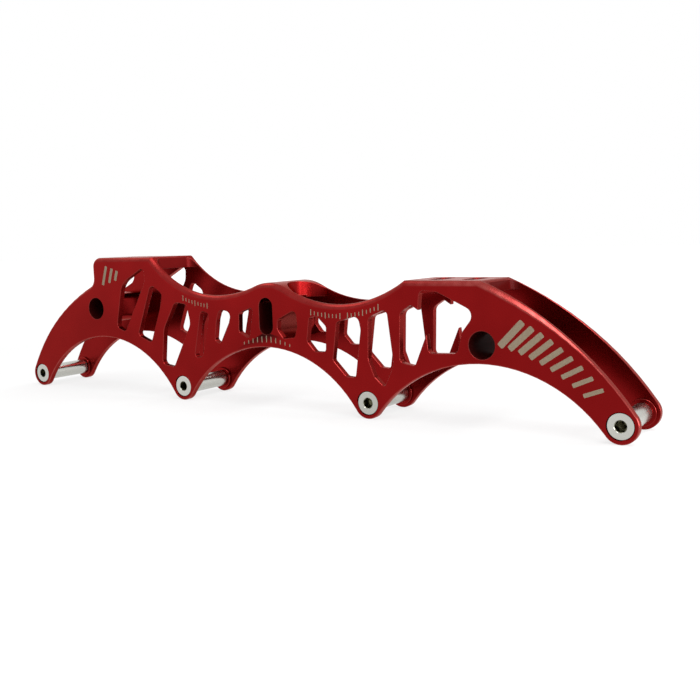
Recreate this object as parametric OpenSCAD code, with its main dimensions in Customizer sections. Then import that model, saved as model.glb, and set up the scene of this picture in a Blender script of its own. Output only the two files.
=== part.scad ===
// Four-wheel inline skate frame, machined in one piece, with its four wheel axles.
// X runs forward, Y from the head side to the threaded side, Z up, in millimetres.
// The origin is on the ground under the middle of the wheelbase, where the wall tips stand.

/* [Wheels] */
// Distance from the rear axle to the front axle
wheelbase = 317.5; // [300:0.5:340]
// Diameter of the largest wheel that fits
wheel_d = 100; // [80:1:102]
// Running gap between a wheel and the cross bars
wheel_gap = 1.5; // [0.5:0.1:3]

/* [Side walls] */
// Width over the outer faces of both walls
frame_w = 32; // [28:0.5:40]
// Thickness of one wall
wall_t = 3; // [2:0.1:5]
// Radius of the wall tip round each axle
tip_r = 6.75; // [6:0.25:8]
// Height of the boss on the inner face round each axle
boss_h = 1; // [0.5:0.1:2]
// Diameter of that boss
boss_d = 10.8; // [9:0.1:12]

/* [Arches between the wheels] */
// Top of the rear arch above the axle line
rear_arch_h = 22.2; // [18:0.1:25]
// Top of the middle arch above the axle line
mid_arch_h = 21.4; // [18:0.1:25]
// Top of the front arch above the axle line
front_arch_h = 19.4; // [16:0.1:22]

/* [Boot decks] */
// Distance between the middles of the rear and the front boot mounts
mount_span = 180; // [170:1:190]
// How far the middle of that span lies ahead of the middle of the wheelbase
mount_shift = -2; // [-6:0.5:6]
// Distance between the two bolt positions of one deck
bolt_step = 15; // [12:0.5:18]
// Diameter of the rear bolt holes and width of the front slots
bolt_hole_d = 6.5; // [5:0.1:8]
// Length of a front slot across the frame, end to end
slot_len = 16; // [10:0.5:20]
// Top of the rear deck above the axle line
rear_deck_h = 62.5; // [60:0.5:66]
// Thickness of the rear deck plate
rear_deck_t = 6; // [4:0.5:7]
// Reach of the rear deck behind its mount
rear_deck_back = 21.7; // [18:0.1:24]
// Reach of the rear deck plate ahead of its mount
rear_deck_front = 21; // [18:0.1:22]
// Top of the front deck above the axle line
front_deck_h = 51.5; // [50.5:0.5:56]
// Thickness of the front deck plate
front_deck_t = 5; // [3:0.5:6]
// Reach of the front deck plate behind and ahead of its mount
front_deck_reach = 17.8; // [15:0.1:20]
// Cutter radius left in the corners of the decks
deck_corner_r = 4; // [2:0.5:6]

/* [Top edge] */
// Place of the rear valley's lowest point, ahead of the middle of the wheelbase
rear_valley_x = -31; // [-36:0.5:-27]
// Height of the rear valley's lowest point above the axle line
rear_valley_h = 44.2; // [42:0.1:46]
// Radius of the rear valley behind its lowest point
rear_valley_back_r = 54; // [50:0.5:58]
// Radius of the rear valley ahead of its lowest point
rear_valley_front_r = 65; // [60:0.5:72]
// Radius of the hump between the two valleys
hump_r = 21; // [17:0.5:26]
// Place of the front valley's lowest point, ahead of the middle of the wheelbase
front_valley_x = 37.5; // [34:0.5:40]
// Height of the front valley's lowest point above the axle line
front_valley_h = 41.2; // [40:0.1:43]
// Radius of the front valley
front_valley_r = 58.2; // [54:0.1:62]

/* [Arms] */
// Radius of the rear arm's back edge
rear_arm_r = 104.5; // [90:0.5:125]
// Height at which the rear arm's back edge reaches the deck's rear end
rear_shoulder_h = 49; // [45:0.5:53]
// Radius of the fillet between the rear arm and the deck's rear end
rear_fillet_r = 5; // [2:0.5:7]
// Radius of the rear deck's top corner
rear_corner_r = 4.5; // [2:0.5:6]
// Radius of the front arm's top edge
front_arm_r = 140; // [120:1:180]
// Reach of the flat top of the walls ahead of the front mount
front_shoulder_reach = 16; // [12:0.5:20]

/* [Cross bars and middle block] */
// Diameter of the lightening bores through the front and rear bars
bar_bore_d = 11; // [6:0.5:12]
// Metal left round those bores
bar_wall = 1.8; // [1.2:0.1:3]
// Outer corner radius of the bars
bar_corner_r = 4; // [1:0.5:5]
// Place of the rear bar behind the middle of the rear bay
rear_bar_back = 6; // [2:0.5:8]
// Height of the rear bar's bore above the axle line
rear_bar_h = 36.5; // [33:0.5:39]
// Place of the front bar behind the middle of the front bay
front_bar_back = 0.5; // [-1:0.5:2]
// Height of the front bar's bore above the axle line
front_bar_h = 26.7; // [25.5:0.1:30]
// Width of the upright oval bore through the middle block
oval_w = 7.5; // [5:0.5:9]
// Height of that oval
oval_l = 16.5; // [12:0.5:19]
// Height of the oval's centre above the axle line
oval_h = 35.3; // [34:0.1:37]
// Metal behind and ahead of the oval
oval_wall = 2.4; // [1.5:0.1:3]
// Metal under the oval
oval_floor = 2.5; // [1.5:0.1:3]
// Reach of the hump's front along the walls, ahead of the middle block's middle
hump_reach = 14; // [12:0.5:16]
// How far the radius of the hollow in the hump's front exceeds half the gap between the walls
hump_hollow_extra = 0.5; // [0.5:0.5:10]

/* [Axles] */
// Diameter of the shank that carries the bearings
shank_d = 8; // [6:0.1:8.5]
// Diameter of the head
head_d = 10; // [9:0.1:11]
// Thickness of the head
head_t = 2.2; // [1.5:0.1:2.6]
// Depth of the head's face below the wall's outer face
head_sink = 0.2; // [0:0.05:0.5]
// Width across the flats of the hex socket
hex_af = 4; // [3:0.5:5]
// Depth of the hex socket
hex_depth = 4; // [2:0.5:6]
// Diameter of the threaded end
thread_d = 7; // [5:0.1:7.2]
// Pitch of the thread
thread_pitch = 1; // [0.75:0.25:1.25]
// Chamfer on the axle's edges
axle_chamfer = 0.5; // [0.2:0.1:0.8]
// Clearance of the axle in its bores, on the diameter
axle_play = 0.2; // [0.1:0.05:0.4]

/* [Hidden] */
$fn = 96;
// Finer steps for the long arcs and for the wheel clearances
long_arc_fn = 4 * $fn;
wheel_fn = 2 * $fn;

// Sizes that follow from those above
axle_count = 4;
bay_count = axle_count - 1;
pitch = wheelbase / bay_count;
axle_h = tip_r;
half_w = frame_w / 2;
half_in = half_w - wall_t;
boss_y = half_in - boss_h;
wheel_r = wheel_d / 2 + wheel_gap;
// Depth to which bars and decks run into the walls
lap = wall_t / 2;
// How far a cutter runs past the face that it opens
past = 1;
// How far arcs that run into each other overlap, so that they cross cleanly
meet = 0.02;

// Places along the frame
function axle_x(i) = (i - bay_count / 2) * pitch;
function bay_x(b) = (axle_x(b) + axle_x(b + 1)) / 2;
rear_mount_x = mount_shift - mount_span / 2;
front_mount_x = mount_shift + mount_span / 2;
back_x = rear_mount_x - rear_deck_back;
shoulder_x = front_mount_x + front_shoulder_reach;

// Arches: each runs into the tips on both sides of its bay
seat_r = tip_r - meet;
arch_hs = [rear_arch_h, mid_arch_h, front_arch_h];
function sq(v) = v * v;
function arch_r(b) = (sq(pitch / 2) + sq(arch_hs[b]) - sq(seat_r)) / (2 * (arch_hs[b] + seat_r));
function arch_centre(b) = [bay_x(b), arch_hs[b] - arch_r(b)];
function axle_point(i) = [axle_x(i), 0];
function unit(v) = v / norm(v);
// A point of the opened arch, just past the place where it meets a tip
function tip_foot(b, i) = axle_point(i) + (tip_r + past) * unit(arch_centre(b) - axle_point(i));

// The point that lies ra from a and rb from b, on one side of the line between them
function reach_point(a, ra, b, rb, side) =
    let (span = b - a)
    let (d = norm(span))
    let (u = span / d)
    let (along = (sq(ra) - sq(rb) + sq(d)) / (2 * d))
    let (across = sqrt(sq(ra) - sq(along)))
    a + along * u + side * across * [u[1], -u[0]];

// Arms: each edge is an arc from its shoulder that runs into the tip of its end axle
function arm_centre(i, shoulder, r, side) = reach_point(axle_point(i), r - seat_r, shoulder, r, side);
rear_shoulder = [back_x, rear_shoulder_h];
front_shoulder = [shoulder_x, front_deck_h];
rear_arm_c = arm_centre(0, rear_shoulder, rear_arm_r, 1);
front_arm_c = arm_centre(bay_count, front_shoulder, front_arm_r, -1);
// A point just outside the place where an arm's edge meets its tip
function arm_end(i, c) = axle_point(i) + (tip_r + past) * unit(axle_point(i) - c);

// Hump: an arc that runs into the valleys on both sides of it
rear_valley_c = [rear_valley_x, rear_valley_h + rear_valley_front_r];
front_valley_c = [front_valley_x, front_valley_h + front_valley_r];
hump_seat_r = hump_r - meet;
hump_c = reach_point(rear_valley_c, rear_valley_front_r + hump_seat_r,
                     front_valley_c, front_valley_r + hump_seat_r, 1);
hump_h = hump_c[1] + hump_r;
function hump_end(valley_c) = hump_c[0] + hump_r * unit(valley_c - hump_c)[0];

// Height of the top edge and of the arches at a place along the frame
function arc_drop(x, centre_x, r) = sqrt(max(0, sq(r) - sq(x - centre_x)));
function valley_at(x, valley_x, low, r) = low + r - arc_drop(x, valley_x, r);
function top_at(x) =
    x < rear_valley_x ? min(rear_deck_h, valley_at(x, rear_valley_x, rear_valley_h, rear_valley_back_r)) :
    x < hump_end(rear_valley_c) ? valley_at(x, rear_valley_x, rear_valley_h, rear_valley_front_r) :
    x < hump_end(front_valley_c) ? hump_c[1] + arc_drop(x, hump_c[0], hump_r) :
    min(front_deck_h, valley_at(x, front_valley_x, front_valley_h, front_valley_r));
function bay_at(x) = min(bay_count - 1, max(0, floor((x - axle_x(0)) / pitch)));
function low_at(x) =
    let (b = bay_at(x))
    arch_centre(b)[1] + arc_drop(x, bay_x(b), arch_r(b));

// Windows in the walls. A corner is [place ahead of the anchor, edge it hangs from, distance from
// that edge, corner radius], and goes round with the window on its right.
TOP = 1;
LOW = 0;
rear_leaf = [[-22.3, TOP, 4.3, 3.5], [-22.9, TOP, 12.5, 6], [-38, LOW, 5, 2.5], [-44, LOW, 6, 2.5],
             [-39, TOP, 13, 10]];
rear_blade = [[-18.6, TOP, 13, 2.5], [-10.4, TOP, 11, 3.5], [-20, LOW, 9, 1.5], [-29, LOW, 7, 2]];
rear_fork = [[-3, TOP, 9.6, 3], [4.7, TOP, 7.2, 2.5], [6.7, TOP, 15.9, 6], [-5.3, LOW, 13.3, 2],
             [-13, LOW, 4.6, 2.5], [-11, LOW, 24, 8]];
rear_slit = [[13.7, TOP, 7.8, 1.8], [19, TOP, 8.6, 1.8], [14, LOW, 9.3, 2], [8.5, LOW, 13.8, 2]];
rear_drop = [[25.4, TOP, 6.3, 3], [32.3, TOP, 8.5, 2.5], [30.7, TOP, 13.7, 5], [25.3, LOW, 7.3, 1.5],
             [22, LOW, 11.2, 1.5], [23.6, TOP, 11, 5]];
mid_back = [[-15.6, TOP, 9.5, 2], [-7.2, TOP, 9.3, 1.3], [-10, LOW, 4.3, 1.3], [-16, LOW, 8.7, 1.5]];
mid_front = [[6.6, LOW, 12.9, 1.5], [16.6, TOP, 6.2, 2], [17.3, LOW, 12.3, 5], [15.8, LOW, 7.2, 1.2],
             [9.6, LOW, 5, 2], [6.3, LOW, 8.5, 2]];
front_shield = [[-29, TOP, 7.3, 1.5], [-25, TOP, 6, 2], [-20.3, TOP, 9.7, 2], [-20.7, LOW, 9.2, 1.5],
                [-26.4, LOW, 5.7, 2], [-30.5, LOW, 8.2, 2]];
front_fork = [[-14.7, TOP, 7.4, 2], [-4, TOP, 5.4, 3.5], [-2.7, TOP, 11.6, 5], [-5.7, LOW, 14, 1.5],
              [-10.4, LOW, 8.3, 1.5], [-17, LOW, 8.6, 1.5]];
front_blade = [[1.3, TOP, 7.4, 3], [10, TOP, 7, 2], [13, LOW, 12.8, 2], [8.6, LOW, 7.5, 1.2],
               [3.6, LOW, 18, 4], [0.8, TOP, 25, 4]];
// These two run into each other and leave a tooth above and a tooth below
front_leaf = [[16.5, TOP, 12.2, 3], [21.4, TOP, 9.7, 1.2], [29.6, TOP, 15, 0], [29.6, TOP, 18.5, 0],
              [23, LOW, 5.6, 1.5], [16, LOW, 11.6, 2]];
front_nose = [[25.5, TOP, 4, 2], [33, TOP, 4.3, 4], [50, TOP, 12.3, 3.5], [44, TOP, 20, 4],
              [42, LOW, 4.6, 2.5], [29.3, LOW, 8, 2], [28.3, TOP, 20.5, 0], [24.7, TOP, 12, 0]];
rear_anchor = axle_x(1);
mid_anchor = bay_x(1);
front_anchor = axle_x(2);

// A window's outline, with each corner turned into an arc that its two sides have room for.
// A corner that is all but straight stays a point.
corner_steps = 8;
side_share = 0.49;
straight_half = 89;
function corner_arc(p, before, after, r) =
    let (u = unit(before - p))
    let (w = unit(after - p))
    let (half = acos(u * w) / 2)
    r == 0 || half > straight_half ? [p] :
    let (reach = min(r / tan(half), side_share * norm(before - p), side_share * norm(after - p)))
    let (fit_r = reach * tan(half))
    let (c = p + unit(u + w) * fit_r / sin(half))
    let (from = p + u * reach - c)
    let (to = p + w * reach - c)
    let (start = atan2(from[1], from[0]))
    let (turn = atan2(to[1], to[0]) - start)
    let (sweep = turn > 180 ? turn - 360 : turn < -180 ? turn + 360 : turn)
    [for (k = [0 : corner_steps]) let (a = start + sweep * k / corner_steps) c + fit_r * [cos(a), sin(a)]];
function corner_at(anchor, c) =
    let (x = anchor + c[0])
    [x, c[1] == TOP ? top_at(x) - c[2] : low_at(x) + c[2]];
function window_points(anchor, corners) =
    let (n = len(corners))
    let (p = [for (c = corners) corner_at(anchor, c)])
    [for (i = [0 : n - 1]) each corner_arc(p[i], p[(i + n - 1) % n], p[(i + 1) % n], corners[i][3])];

module window(anchor, corners) {
    polygon(window_points(anchor, corners));
}

module windows() {
    for (corners = [rear_leaf, rear_blade, rear_fork, rear_slit, rear_drop]) window(rear_anchor, corners);
    for (corners = [mid_back, mid_front]) window(mid_anchor, corners);
    for (corners = [front_shield, front_fork, front_blade, front_leaf, front_nose])
        window(front_anchor, corners);
}

// Rear arm: everything under the arc of its back edge, up into the rear deck
module rear_arm() {
    end = arm_end(0, rear_arm_c);
    foot = tip_foot(0, 0);
    inner_x = back_x + rear_corner_r + lap;
    intersection() {
        translate(rear_arm_c) circle(rear_arm_r, $fn = long_arc_fn);
        polygon([end, [end[0], rear_deck_h], [inner_x, rear_deck_h], [inner_x, foot[1]], foot,
                 axle_point(0)]);
    }
}

// Front arm: everything under the arc of its top edge, back into the front deck
module front_arm() {
    end = arm_end(bay_count, front_arm_c);
    foot = tip_foot(bay_count - 1, bay_count);
    inner_x = shoulder_x - lap;
    intersection() {
        translate(front_arm_c) circle(front_arm_r, $fn = long_arc_fn);
        polygon([end, axle_point(bay_count), foot, [inner_x, foot[1]], [inner_x, front_deck_h],
                 [end[0], front_deck_h]]);
    }
}

// Hollow fillet where the rear arm runs up into the deck's rear end
module rear_fillet() {
    c_x = back_x - rear_fillet_r + meet;
    c = [c_x, rear_arm_c[1] + arc_drop(c_x, rear_arm_c[0], rear_arm_r + rear_fillet_r - meet)];
    on_arm = rear_arm_c + rear_arm_r * unit(c - rear_arm_c);
    inside = [back_x + lap, rear_shoulder_h - lap];
    difference() {
        polygon([on_arm, c, [back_x, c[1]], [back_x + lap, c[1]], inside]);
        translate(c) circle(rear_fillet_r);
    }
}

// Walls between the arms, before the valleys and arches are cut
module middle_span() {
    front_x = shoulder_x - lap / 2;
    polygon([
        [back_x, tip_foot(0, 1)[1]],
        tip_foot(0, 1),
        axle_point(1),
        tip_foot(1, 1),
        tip_foot(1, 2),
        axle_point(2),
        tip_foot(2, 2),
        [front_x, tip_foot(2, 2)[1]],
        [front_x, front_deck_h],
        [front_valley_x, front_deck_h],
        [front_valley_x, hump_h + past],
        [rear_valley_x, hump_h + past],
        [rear_valley_x, rear_deck_h],
        [back_x, rear_deck_h]
    ]);
}

// What the cutter takes off the rear deck's top corner
module rear_corner() {
    difference() {
        translate([back_x - past, rear_deck_h - rear_corner_r])
            square([rear_corner_r + past, rear_corner_r + past]);
        translate([back_x + rear_corner_r, rear_deck_h - rear_corner_r]) circle(rear_corner_r);
    }
}

// Half disc of a valley, on one side of its lowest point
module half_valley(x, low, r, side) {
    intersection() {
        translate([x, low + r]) circle(r, $fn = long_arc_fn);
        translate([side < 0 ? x - r : x, low - past]) square([r, 2 * r + 2 * past]);
    }
}

// What the cutter takes off above the hump, between the valleys
module hump_crown() {
    difference() {
        polygon([rear_valley_c, front_valley_c, hump_c]);
        translate(hump_c) circle(hump_r);
    }
}

// Outline of one wall, without its windows
module outline() {
    difference() {
        union() {
            rear_arm();
            front_arm();
            rear_fillet();
            middle_span();
        }
        for (b = [0 : bay_count - 1]) translate(arch_centre(b)) circle(arch_r(b), $fn = long_arc_fn);
        half_valley(rear_valley_x, rear_valley_h, rear_valley_back_r, -1);
        half_valley(rear_valley_x, rear_valley_h, rear_valley_front_r, 1);
        translate(front_valley_c) circle(front_valley_r, $fn = long_arc_fn);
        hump_crown();
        rear_corner();
    }
    for (i = [0 : axle_count - 1]) translate(axle_point(i)) circle(tip_r);
}

// Stands a drawing of X and Z up and makes it run from one Y to another
module across(y0, y1) {
    translate([0, y1, 0]) rotate([90, 0, 0]) linear_extrude(y1 - y0) children();
}

// A round bar or bore along Y
module cross_cylinder(x, z, d, y0, y1) {
    translate([x, y1, z]) rotate([90, 0, 0]) cylinder(h = y1 - y0, d = d);
}

module wall_plate() {
    difference() {
        outline();
        windows();
    }
}

module walls() {
    across(-half_w, -half_in) wall_plate();
    across(half_in, half_w) wall_plate();
    for (i = [0 : axle_count - 1]) {
        cross_cylinder(axle_x(i), 0, boss_d, boss_y, half_in + lap);
        cross_cylinder(axle_x(i), 0, boss_d, -half_in - lap, -boss_y);
    }
}

// Web that the cutter leaves in the corner between a deck's end and a wall
module corner_web(x, end, top, t) {
    for (side = [-1, 1])
        translate([x, side * half_in, top - t]) difference() {
            translate([end < 0 ? -deck_corner_r : -lap, side > 0 ? -deck_corner_r : -lap, 0])
                cube([deck_corner_r + lap, deck_corner_r + lap, t]);
            translate([end * deck_corner_r, -side * deck_corner_r, -past])
                cylinder(h = t + 2 * past, r = deck_corner_r);
        }
}

module deck_plate(x0, x1, top, t) {
    translate([x0, -half_in - lap, top - t]) cube([x1 - x0, 2 * (half_in + lap), t]);
}

// Boot decks, cut to the walls' own outline
module decks() {
    rear_end = rear_mount_x + rear_deck_front;
    front_back = front_mount_x - front_deck_reach;
    front_end = front_mount_x + front_deck_reach;
    intersection() {
        across(-half_in - lap, half_in + lap) outline();
        union() {
            deck_plate(back_x, rear_end, rear_deck_h, rear_deck_t);
            corner_web(rear_end, 1, rear_deck_h, rear_deck_t);
            deck_plate(front_back, front_end, front_deck_h, front_deck_t);
            corner_web(front_back, -1, front_deck_h, front_deck_t);
            corner_web(front_end, 1, front_deck_h, front_deck_t);
        }
    }
}

// Place of the bore in a cross bar
rear_bar = [bay_x(0) - rear_bar_back, rear_bar_h];
front_bar = [bay_x(bay_count - 1) - front_bar_back, front_bar_h];
bar_side = bar_bore_d + 2 * bar_wall;

module rounded_square(side, r) {
    square([side, side - 2 * r], center = true);
    square([side - 2 * r, side], center = true);
    for (sx = [-1, 1], sz = [-1, 1]) translate([sx * (side / 2 - r), sz * (side / 2 - r)]) circle(r);
}

// Bars that tie the walls together between the wheels
module cross_bars() {
    for (bar = [rear_bar, front_bar])
        across(-half_in - lap, half_in + lap) difference() {
            translate(bar) rounded_square(bar_side, bar_corner_r);
            for (i = [0 : axle_count - 1]) translate(axle_point(i)) circle(wheel_r, $fn = wheel_fn);
        }
}

// Middle block: a bored foot, and the hump above it with its hollowed front
oval_low = oval_h - oval_l / 2;
oval_top = oval_h + oval_l / 2;
block_back = mid_anchor - oval_w / 2 - oval_wall;
block_front = mid_anchor + oval_w / 2 + oval_wall;
hump_front = mid_anchor + hump_reach;
hump_hollow_r = half_in + hump_hollow_extra;

module middle_block() {
    across(-half_in - lap, half_in + lap) difference() {
        translate([block_back, oval_low - oval_floor])
            square([block_front - block_back, oval_l + oval_floor]);
        for (i = [0 : axle_count - 1]) translate(axle_point(i)) circle(wheel_r, $fn = wheel_fn);
    }
    difference() {
        across(-half_in - lap, half_in + lap) intersection() {
            outline();
            translate([block_back, oval_top - past])
                square([hump_front - block_back, hump_h - oval_top + 2 * past]);
        }
        translate([hump_front + sqrt(sq(hump_hollow_r) - sq(half_in + meet)), 0, oval_top - 2 * past])
            cylinder(h = hump_h - oval_top + 4 * past, r = hump_hollow_r);
    }
}

// Bores for the axles, with a seat for the head on one side and a thread on the other
module axle_bores() {
    seat_y = -half_w + head_sink + head_t;
    for (i = [0 : axle_count - 1]) {
        cross_cylinder(axle_x(i), 0, shank_d + axle_play, -half_w - past, 0);
        cross_cylinder(axle_x(i), 0, head_d + 2 * axle_play, -half_w - past, seat_y);
        cross_cylinder(axle_x(i), 0, thread_d + axle_play, 0, half_w + past);
    }
}

module cross_bores() {
    reach = half_w + past;
    for (bar = [rear_bar, front_bar]) cross_cylinder(bar[0], bar[1], bar_bore_d, -reach, reach);
    end_z = (oval_l - oval_w) / 2;
    for (s = [-1, 1]) cross_cylinder(mid_anchor, oval_h + s * end_z, oval_w, -reach, reach);
    translate([mid_anchor - oval_w / 2, -reach, oval_h - end_z]) cube([oval_w, 2 * reach, 2 * end_z]);
}

module bolt_holes() {
    for (s = [-1, 1]) {
        translate([rear_mount_x + s * bolt_step / 2, 0, rear_deck_h - rear_deck_t - past])
            cylinder(h = rear_deck_t + 2 * past, d = bolt_hole_d);
        translate([front_mount_x + s * bolt_step / 2, 0, front_deck_h - front_deck_t - past])
            slot(front_deck_t + 2 * past);
    }
}

// Slot across the frame with round ends
module slot(depth) {
    end_y = (slot_len - bolt_hole_d) / 2;
    for (s = [-1, 1]) translate([0, s * end_y, 0]) cylinder(h = depth, d = bolt_hole_d);
    translate([-bolt_hole_d / 2, -end_y, 0]) cube([bolt_hole_d, 2 * end_y, depth]);
}

module frame_body() {
    color("firebrick") translate([0, 0, axle_h]) difference() {
        union() {
            walls();
            decks();
            cross_bars();
            middle_block();
        }
        axle_bores();
        cross_bores();
        bolt_holes();
    }
}

// Half profile of an axle, from the head's face along to the threaded end
head_y = -half_w + head_sink;
axle_len = boss_y - head_y;
thread_len = half_w - boss_y - head_sink;
thread_depth = thread_pitch / 2;
hex_sides = 6;
thread_turns = max(1, floor((thread_len - 2 * axle_chamfer) / thread_pitch));
thread_start = axle_len + axle_chamfer;

module wheel_axle(i) {
    head_r = head_d / 2;
    shank_r = shank_d / 2;
    thread_r = thread_d / 2;
    root_r = thread_r - thread_depth;
    profile = concat(
        [[0, 0], [head_r - axle_chamfer, 0], [head_r, axle_chamfer], [head_r, head_t], [shank_r, head_t],
         [shank_r, axle_len - axle_chamfer], [shank_r - axle_chamfer, axle_len], [root_r, axle_len]],
        [for (k = [0 : thread_turns - 1], p = [[0, root_r], [0.5, thread_r]])
            [p[1], thread_start + (k + p[0]) * thread_pitch]],
        [[root_r, thread_start + thread_turns * thread_pitch], [root_r, axle_len + thread_len],
         [0, axle_len + thread_len]]
    );
    color("silver") translate([axle_x(i), head_y, axle_h]) rotate([-90, 0, 0]) difference() {
        rotate_extrude() polygon(profile);
        translate([0, 0, -past])
            cylinder(h = hex_depth + past, d = hex_af / cos(180 / hex_sides), $fn = hex_sides);
    }
}

module rear_axle() {
    wheel_axle(0);
}

module second_axle() {
    wheel_axle(1);
}

module third_axle() {
    wheel_axle(2);
}

module front_axle() {
    wheel_axle(3);
}

frame_body();
rear_axle();
second_axle();
third_axle();
front_axle();
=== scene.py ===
"""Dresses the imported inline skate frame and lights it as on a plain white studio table."""

import logging
import math
from collections import defaultdict
from collections.abc import Iterable, Sequence
from dataclasses import dataclass, field
from enum import Enum

import bpy
from mathutils import Matrix, Vector
from mathutils.bvhtree import BVHTree


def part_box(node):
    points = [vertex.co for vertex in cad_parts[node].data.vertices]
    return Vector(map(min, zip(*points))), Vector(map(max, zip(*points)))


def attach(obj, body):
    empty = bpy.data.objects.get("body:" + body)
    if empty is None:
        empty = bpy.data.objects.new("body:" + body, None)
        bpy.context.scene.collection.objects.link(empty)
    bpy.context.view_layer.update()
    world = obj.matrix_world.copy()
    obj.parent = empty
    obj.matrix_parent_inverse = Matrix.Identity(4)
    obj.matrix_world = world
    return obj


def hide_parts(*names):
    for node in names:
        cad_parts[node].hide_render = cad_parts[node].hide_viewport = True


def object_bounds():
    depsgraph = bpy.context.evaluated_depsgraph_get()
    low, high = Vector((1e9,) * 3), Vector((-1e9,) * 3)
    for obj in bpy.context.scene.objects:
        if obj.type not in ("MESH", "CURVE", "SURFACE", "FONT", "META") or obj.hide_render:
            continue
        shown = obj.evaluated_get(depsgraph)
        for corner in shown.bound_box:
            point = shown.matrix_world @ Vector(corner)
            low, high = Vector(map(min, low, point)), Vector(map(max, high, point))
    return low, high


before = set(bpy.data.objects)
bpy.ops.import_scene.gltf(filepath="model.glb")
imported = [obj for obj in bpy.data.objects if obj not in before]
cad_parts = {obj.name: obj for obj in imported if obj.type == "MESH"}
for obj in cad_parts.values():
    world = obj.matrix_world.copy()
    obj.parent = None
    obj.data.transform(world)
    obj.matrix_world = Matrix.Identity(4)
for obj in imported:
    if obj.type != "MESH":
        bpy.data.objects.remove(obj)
CAD_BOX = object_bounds()

Colour = tuple[float, float, float, float]
Pair = tuple[float, float]
Object = bpy.types.Object
Mesh = bpy.types.Mesh
Material = bpy.types.Material
Node = bpy.types.Node
Socket = bpy.types.NodeSocket

MM = 0.001
WELD = 0.001 * MM
BUMP_DEPTH = 0.01 * MM
NOISE_RANGE: Pair = (0.3, 0.7)
WHITE: Colour = (1.0, 1.0, 1.0, 1.0)
AXLE_NODES = ("rear_axle", "second_axle", "third_axle", "front_axle")

log = logging.getLogger("skate_frame")


class Wall(Enum):
    """The two walls of the frame, by the sign of Y on their outer face."""

    HEAD = -1
    THREAD = 1


class Bench:
    """Steps at the modelling bench that several pieces share."""

    @staticmethod
    def clear() -> None:
        """Leaves edit mode and deselects everything."""
        if bpy.context.mode != "OBJECT":
            bpy.ops.object.mode_set(mode="OBJECT")
        bpy.ops.object.select_all(action="DESELECT")

    @classmethod
    def take(cls, piece: Object, mode: str = "OBJECT") -> None:
        """Makes a piece the only selected one.

        Args:
            piece: The piece to work on.
            mode: The mode to work in, OBJECT or EDIT.
        """
        cls.clear()
        piece.select_set(True)
        bpy.context.view_layer.objects.active = piece
        if mode != "OBJECT":
            bpy.ops.object.mode_set(mode=mode)

    @staticmethod
    def add(name: str, data: bpy.types.ID) -> Object:
        """Adds an object to the scene, at the origin.

        Args:
            name: The object's name.
            data: Its mesh, lamp or camera.

        Returns:
            The new object.
        """
        thing = bpy.data.objects.new(name, data)
        bpy.context.scene.collection.objects.link(thing)
        return thing

    @classmethod
    def copy_of_node(cls, node: str, name: str, merge: float) -> Object:
        """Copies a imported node's mesh into a piece and joins its loose triangles.

        Args:
            node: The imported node.
            name: The new piece's name.
            merge: How near corners are joined, in metres.

        Returns:
            The new piece, in edit mode with all of it selected.
        """
        piece = cls.add(name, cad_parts[node].data.copy())
        cls.take(piece, "EDIT")
        bpy.ops.mesh.select_all(action="SELECT")
        bpy.ops.mesh.remove_doubles(threshold=merge)
        return piece

    @classmethod
    def modify(cls, piece: Object, kind: str, **settings: object) -> None:
        """Adds a modifier to a piece and applies it.

        Args:
            piece: The piece.
            kind: The modifier's type.
            settings: The modifier's settings by name.
        """
        modifier = piece.modifiers.new(kind.lower(), kind)
        for name, value in settings.items():
            setattr(modifier, name, value)
        cls.take(piece)
        bpy.ops.object.modifier_apply(modifier=modifier.name)

    @classmethod
    def cut(cls, piece: Object, cutter: Object) -> None:
        """Cuts a cutter's shape out of a piece and throws the cutter away.

        Args:
            piece: The piece that is cut.
            cutter: The object that cuts.
        """
        cls.modify(piece, "BOOLEAN", operation="DIFFERENCE", object=cutter, solver="EXACT")
        bpy.data.objects.remove(cutter)

    @classmethod
    def weld(cls, piece: Object) -> None:
        """Joins corners that all but touch, so that no face without area is left.

        Args:
            piece: The piece.
        """
        cls.take(piece, "EDIT")
        bpy.ops.mesh.select_all(action="SELECT")
        bpy.ops.mesh.remove_doubles(threshold=WELD)
        bpy.ops.mesh.dissolve_degenerate(threshold=WELD)
        cls.clear()

    @classmethod
    def smooth(cls, piece: Object, angle: float) -> None:
        """Shades a piece smooth up to an angle, with its flats kept flat.

        Args:
            piece: The piece.
            angle: The sharpest angle that is shaded smooth, in radians.
        """
        cls.take(piece)
        bpy.ops.object.shade_smooth_by_angle(angle=angle)
        cls.modify(piece, "WEIGHTED_NORMAL", keep_sharp=True, mode="FACE_AREA")

    @staticmethod
    def write(mesh: Mesh, name: str, values: Sequence[float]) -> None:
        """Writes one number for each corner of a mesh, as a named attribute."""
        mesh.attributes.new(name, "FLOAT", "POINT").data.foreach_set("value", values)


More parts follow.
